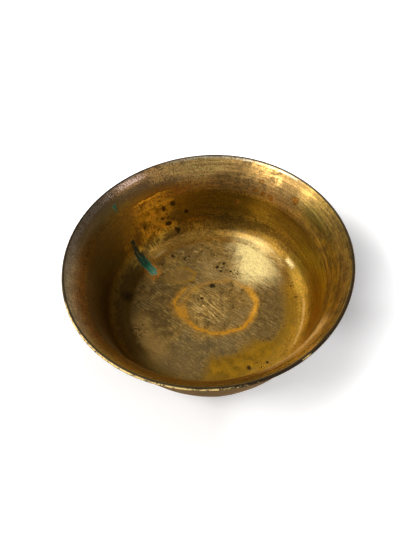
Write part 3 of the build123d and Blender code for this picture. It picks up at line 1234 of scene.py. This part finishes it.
# %% [markdown]
# All coats together make the bowl's material. Turned and scoured metal reflects in streaks across its
# grain. A bump of very fine lines could do that, but only with far more samples. The shader's anisotropy
# does it from a tangent, which goes round the turn on the wall and lies along the scouring on the floor.
# A shallow bump adds the marks that are wide enough to be seen one by one.

# %% The bowl's material
bare_roughness = 0.23
relief_depth = 0.00016
grain_strength, quarter_turn = 0.65, 0.25
edge_tint = (0.92, 0.76, 0.5)
bowl_coats = (
    wall_coats, corner_coats, flare_films, flare_dirt, flare_lights, floor_film, film_shades, scoured_floor,
    left_tarnish_and_shade, rubbed_highlight_patch, fine_texture, crazed_patch, crease_highlights, ring_stains, dried_drop,
    verdigris_fringe, verdigris_run, wall_spots, floor_pits, brown_outside, worn_lip,
)


def bowl_relief(r, here):
    """Turning marks, grain and strokes, with verdigris and stains standing out and pits sunk in."""
    crusts = r.minus(r.sum(here.crust, r.times(here.stain, 0.3)), here.holes)
    return r.weigh((here.turning, 0.3), (here.grain, 0.35), (here.grit, 0.25), (here.mottle, 0.8),
                   (here.scratches, 0.5), (crusts, 0.4))


def grain_direction(r, here):
    """The tangent of the metal's grain: round the turn, and along the scouring on the floor."""
    turned = r.add("ShaderNodeTangent", {}, direction_type="RADIAL", axis="Z")
    scoured = r.vector(*pointing(scouring_angle), 0.0)
    return r.add("ShaderNodeMix", {0: here.floor, 4: turned, 5: scoured}, 1, data_type="VECTOR")


def bowl_material():
    """Brass under its coats, with its relief and grain."""
    r = Recipe(bpy.data.materials.new("bowl_brass"))
    here = survey(r)
    add_noises(r, here)
    add_zones(r, here)
    finish = Finish(r, honey_brass, bare_roughness)
    for lay_coats in bowl_coats:
        before = len(r.tree.nodes)
        lay_coats(r, here, finish)
        print(lay_coats.__name__.replace("_", " "), "took", len(r.tree.nodes) - before, "nodes")
    return r.finish(Base_Color=finish.colour, Roughness=finish.roughness, Metallic=finish.metal,
                    Normal=r.bump(bowl_relief(r, here), relief_depth), Tangent=grain_direction(r, here),
                    Anisotropic=grain_strength, Anisotropic_Rotation=quarter_turn, Specular_Tint=edge_tint)


bowl.data.materials.append(bowl_material())

# %% [markdown]
# The foot is the same brass as the bowl under the same brown. It was turned on a lathe, so fine lines
# run round it, and its lower edge is rubbed bright where it slides on the table. The seam is the brazing
# metal that flowed out of the joint: a little paler, and rough because it was never cleaned up. They
# hardly show, so two short recipes of noise do, in place of the bowl's many coats.

# %% Finish of the foot and the seam
foot_brown = (0.068, 0.030, 0.016)
foot_light = (0.115, 0.053, 0.027)
foot_worn = (0.42, 0.27, 0.11)
braze_pale = (0.26, 0.17, 0.065)
braze_dark = (0.085, 0.048, 0.020)
foot_relief_depth, braze_relief_depth = 0.00008, 0.00015
worn_edge = (0.9, 0.3)


def foot_material():
    """Brown by mottled noise and turning lines, and bright along the edge that it stands on."""
    r = Recipe(bpy.data.materials.new("foot_brass"))
    place = r.place()
    z = r.parts(place)[2]
    mottle = r.noise(place, 0.12, 3.0, 0.6)
    grain = r.noise(place, 1.3, 3.0, 0.6)
    lines = r.noise(r.vector(0.0, 0.0, z), 2.2, 3.0, 0.7)
    finish = Finish(r, r.mix(r.ramp(mottle, 0.38, 0.62), foot_brown, foot_light), 0.36)
    finish.tint(r.times(r.ramp(lines, 0.3, 0.7, 0.75, 1.25), r.ramp(grain, 0.3, 0.7, 0.75, 1.25)))
    worn = r.ramp(r.sum(z, r.times(r.minus(grain, 0.5), 2.5)), *worn_edge)
    finish.coat(r.times(worn, 0.8), foot_worn, roughness=0.3)
    relief = r.weigh((lines, 0.5), (grain, 0.5))
    return r.finish(Base_Color=finish.colour, Roughness=finish.roughness, Metallic=1.0,
                    Normal=r.bump(relief, foot_relief_depth))


def braze_material():
    """Pale brazing metal, darkened in patches, with a lumpy skin."""
    r = Recipe(bpy.data.materials.new("braze_metal"))
    place = r.place()
    mottle = r.noise(place, 0.5, 4.0, 0.65)
    colour = r.mix(r.ramp(mottle, 0.40, 0.60), braze_dark, braze_pale)
    return r.finish(Base_Color=colour, Roughness=0.5, Metallic=1.0,
                    Normal=r.bump(mottle, braze_relief_depth))


foot.data.materials.append(foot_material())
braze.data.materials.append(braze_material())

# %% [markdown]
# The bowl stands on a pale floor that is grey close to it and turns white further off: partly the lamps'
# shadow, partly a painted shadow. A white plane under lamps would be as bright in front of the bowl as
# behind it, and brighter lamps would burn the brass out. So the floor glows a little by itself, more with
# the distance from the bowl, and that glow paints the shadow. Only the camera and reflections see that
# glow, and it casts no light. The disc lies a hair under the foot, so the two faces don't flicker.

# %% The studio floor
floor_rings = np.array([0.02, 0.1, 0.3, 1.0, 3.0]) * 1000.0
floor_drop = 0.02
floor_segments = 96
floor_white = (0.9, 0.9, 0.9)
shadow_glow_distances, shadow_glow_strengths = (61.0, 98.0), (0.125, 0.7)
front_sector, front_painted_light = (312.0, 20.0, 26.0), 0.26
shaded_sector, shade_share = (48.0, 14.0, 36.0), 0.18
seen_rays = ("Is Camera Ray", "Is Glossy Ray", "Is Transmission Ray")


def make_floor():
    """A flat disc of rings about the axis, a little under the foot."""
    rings = np.stack([floor_rings, np.full_like(floor_rings, -floor_drop)], axis=1)
    points = ring_points(rings, floor_segments).reshape(-1, 3)
    faces = ring_faces(len(floor_rings), floor_segments, closed=False).tolist()
    return make_piece("studio_floor", points, faces + [list(range(floor_segments))])


def floor_material():
    """White, with a glow that grows with distance, more at the front right and less at the back right: a
    painted shadow.
    """
    r = Recipe(bpy.data.materials.new("studio_floor"))
    seen = r.most(*(r.add("ShaderNodeLightPath", {}, ray) for ray in seen_rays))
    place = r.place()
    way = r.unit(place)
    # The glow paints the shadow: less near the bowl and at the back right, and more at the front right as
    # painted light.
    front = r.times(facing(r, way, front_sector), front_painted_light)
    shaded = r.times(facing(r, way, shaded_sector), shade_share)
    away = r.times(r.length(place), r.minus(1.0, shaded))
    shadow_glow = r.ramp(away, *shadow_glow_distances, *shadow_glow_strengths)
    return r.finish(Base_Color=floor_white, Roughness=0.9, Specular_IOR_Level=0.0,
                    Emission_Color=(1.0, 1.0, 1.0), Emission_Strength=r.times(seen, r.sum(shadow_glow, front)))


floor = make_floor()
floor.data.materials.append(floor_material())
floor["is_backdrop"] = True

# %% [markdown]
# Polished metal shows the room around it more than its own colour, so an empty black world would leave
# the bowl black. A picture of a studio would do, but a few nodes give a cleaner one: a dim ceiling over
# a paler horizon, brighter on the left, where the main lamp stands.

# %% The room
horizon_to_ceiling, height_strengths = (0.05, 0.45), (0.5, 0.25)
left_to_right, side_strengths = (-0.9, 0.9), (1.3, 0.7)


def make_room():
    """White light whose strength falls with the height and from left to right."""
    r = Recipe(bpy.data.worlds.new("studio"), "Background")
    x, _, z = r.parts(r.add("ShaderNodeTexCoord", {}, "Generated"))
    height = r.ramp(z, *horizon_to_ceiling, *height_strengths)
    side = r.ramp(x, *left_to_right, *side_strengths, shape="LINEAR")
    return r.finish(Color=(1.0, 1.0, 1.0), Strength=r.times(height, side))


bpy.context.scene.world = make_room()

# %% [markdown]
# A soft lamp from the left lights the bowl, a weaker one from the right lifts the shadow side, and a
# wide weak one overhead opens the inside. Point lamps would leave hard white dots on the metal. Square
# area lamps leave broad soft reflections, and the wide one is hidden from reflections, so it doesn't
# grey the floor of the bowl.

# %% The lamps


def direction(azimuth, elevation):
    """The unit vector towards a lamp: azimuth clockwise from the far side, elevation above the floor."""
    turn, rise = np.radians([azimuth, elevation])
    return Vector((np.sin(turn) * np.cos(rise), np.cos(turn) * np.cos(rise), np.sin(rise)))


def softbox(name, azimuth, elevation, distance, size, radiance, colour, mirrored=True):
    """A square lamp that faces the bowl. Its power is radiance x pi x its area."""
    lamp = bpy.data.lights.new(name, "AREA")
    lamp.size = size
    lamp.energy = radiance * np.pi * size ** 2
    lamp.color = colour
    holder = bpy.data.objects.new(name, lamp)
    towards = direction(azimuth, elevation)
    holder.location = towards * distance
    holder.rotation_euler = towards.to_track_quat("Z", "Y").to_euler()
    holder.visible_glossy = mirrored
    bpy.context.scene.collection.objects.link(holder)
    print(name, "gives", round(lamp.energy, 2), "W")


softbox("key_softbox", azimuth=260.0, elevation=45.0, distance=1.2, size=0.6, radiance=11.0,
        colour=(1.0, 0.98, 0.95))
softbox("overhead_softbox", azimuth=195.0, elevation=60.0, distance=1.3, size=1.2, radiance=0.85,
        colour=(1.0, 1.0, 1.0), mirrored=False)
softbox("fill_softbox", azimuth=121.0, elevation=42.0, distance=1.2, size=0.3, radiance=3.2,
        colour=(1.0, 0.9, 0.9))

# %% [markdown]
# The camera stands in front of the bowl and looks down into it, held a little askew. A Track To
# constraint would keep it level. So its three axes are worked out from tilt, pan and roll, and set as
# one matrix.

# %% The camera
camera_distance = 0.208494
camera_target_height = 0.04655
camera_rise = 51.919
camera_tilt = 54.523
camera_roll = -4.731
camera_pan = 0.153
focal_pixels = 505.0
image_height_pixels = 555.0
sensor_millimetres = 36.0


def make_camera():
    """Stands in front of the bowl and above it, and looks down with a slight roll."""
    tilt, roll, pan, rise = np.radians([camera_tilt, camera_roll, camera_pan, camera_rise])
    ahead = -np.array([np.sin(pan) * np.cos(tilt), -np.cos(pan) * np.cos(tilt), np.sin(tilt)])
    right = np.cross(ahead, [0.0, 0.0, 1.0])
    right = right / np.linalg.norm(right)
    up = np.cross(right, ahead)
    right, up = np.cos(roll) * right + np.sin(roll) * up, np.cos(roll) * up - np.sin(roll) * right
    place = camera_distance * np.array([0.0, -np.cos(rise), np.sin(rise)]) + [0.0, 0.0, camera_target_height]
    data = bpy.data.cameras.new("camera")
    data.sensor_width = sensor_millimetres
    data.lens = focal_pixels * sensor_millimetres / image_height_pixels
    camera = bpy.data.objects.new("camera", data)
    axes = np.eye(4)
    axes[:3, 0], axes[:3, 1], axes[:3, 2], axes[:3, 3] = right, up, -ahead, place
    camera.matrix_world = Matrix(axes.tolist())
    bpy.context.scene.collection.objects.link(camera)
    bpy.context.scene.camera = camera
    print("camera stands at, m:", place.round(4), "with a lens of", round(data.lens, 1), "mm")


make_camera()
bpy.context.scene.view_settings.view_transform = "Standard"

# %% [markdown]
# Each surface now takes the place of one solid of the frame. Nothing on the bowl moves, so all three
# ride on the root. The boxes of the solids and of the surfaces are kept side by side, to show that they
# agree.

# %% Hand the pieces to the frame
for piece, node, slot in ((bowl, "bowl_body", "bowl_brass"), (foot, "foot_ring", "foot_brass"),
                          (braze, "braze_seam", "braze_metal")):
    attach(piece, "root")
    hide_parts(node)
box_steps = (np.array(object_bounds()) - np.array(cad_box)) * 1000.0
print("from the box of the solids to that of the surfaces, mm:", box_steps.round(2).tolist())
